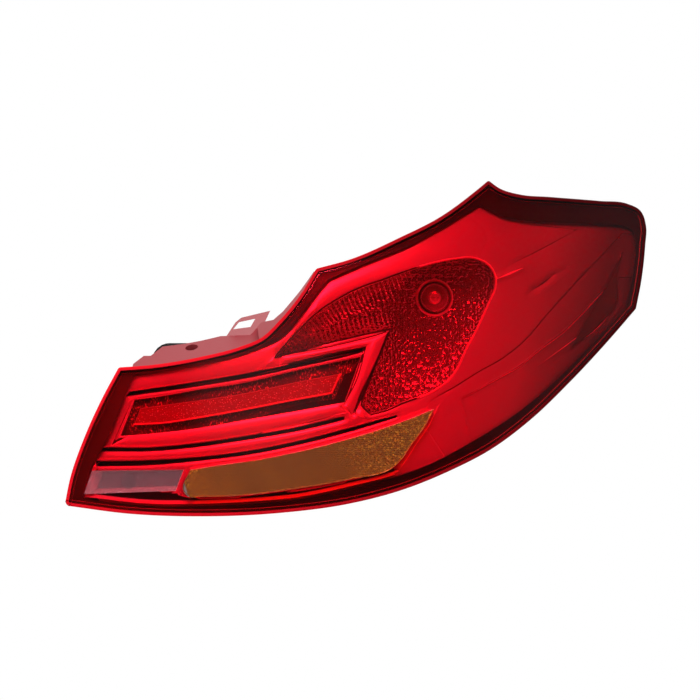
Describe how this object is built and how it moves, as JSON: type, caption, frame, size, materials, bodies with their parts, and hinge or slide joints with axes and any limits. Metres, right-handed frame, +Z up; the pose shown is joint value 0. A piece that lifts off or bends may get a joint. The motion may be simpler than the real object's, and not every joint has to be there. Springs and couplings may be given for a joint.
{
  "type": "tail light cluster",
  "caption": "Wrapped red tail light cluster with an amber turn window, a clear reverse window, a light bar, a stop chamber and a bulb carrier behind.",
  "frame": {"origin": "root of the main stud, on the housing's rear seat", "axes": "+X outboard, +Y forward into the car along the studs, +Z up; the lens faces -Y"},
  "size_m": [0.5042, 0.2479, 0.2895],
  "materials": {
    "red_lens": "moulded red acrylic, polished",
    "amber_lens": "moulded amber acrylic with line optics inside",
    "clear_lens": "moulded clear acrylic with a stippled inside",
    "sealant": "black butyl bead",
    "black_trim": "moulded satin black",
    "bezel_metal": "vacuum metallised ABS",
    "bar_lens": "moulded inner lens with pillow optics",
    "circuit_board": "solder mask",
    "led_body": "moulded package",
    "zinc_steel": "zinc plated",
    "side_lens": "prismatic red reflector",
    "reflector_metal": "vacuum metallised, faceted",
    "bulb_glass": "clear glass",
    "amber_bulb": "amber lacquered glass",
    "brass_cap": "drawn brass",
    "housing_plastic": "moulded dark maroon ABS, fine grain",
    "foam_seal": "closed cell foam",
    "black_rubber": "moulded",
    "bush_nylon": "natural nylon",
    "carrier_plastic": "glass filled nylon",
    "brass_contact": "stamped strip",
    "black_plastic": "moulded"
  },
  "bodies": {
    "root": {"outer_lens": "red_lens", "turn_window": "amber_lens", "reverse_window": "clear_lens", "lens_sealant": "sealant", "border_frame": "black_trim", "bezel": "bezel_metal", "light_bar_lens": "bar_lens", "led_board": "circuit_board", "leds": "led_body", "board_screws": "zinc_steel", "side_reflector": "side_lens", "stop_reflector": "reflector_metal", "turn_reflector": "reflector_metal", "reverse_reflector": "reflector_metal", "stop_bulb": "bulb_glass", "turn_bulb": "amber_bulb", "reverse_bulb": "bulb_glass", "stop_bulb_cap": "brass_cap", "turn_bulb_cap": "brass_cap", "housing": "housing_plastic", "studs": "zinc_steel", "body_seal": "foam_seal", "vent_cap": "black_rubber", "guide_pin_bush": "bush_nylon", "bulb_carrier": "carrier_plastic", "carrier_gasket": "foam_seal", "contact_tracks": "brass_contact", "terminals": "brass_contact", "carrier_screws": "zinc_steel", "reverse_holder": "black_plastic", "holder_ring": "black_rubber"}
  },
  "joints": []
}
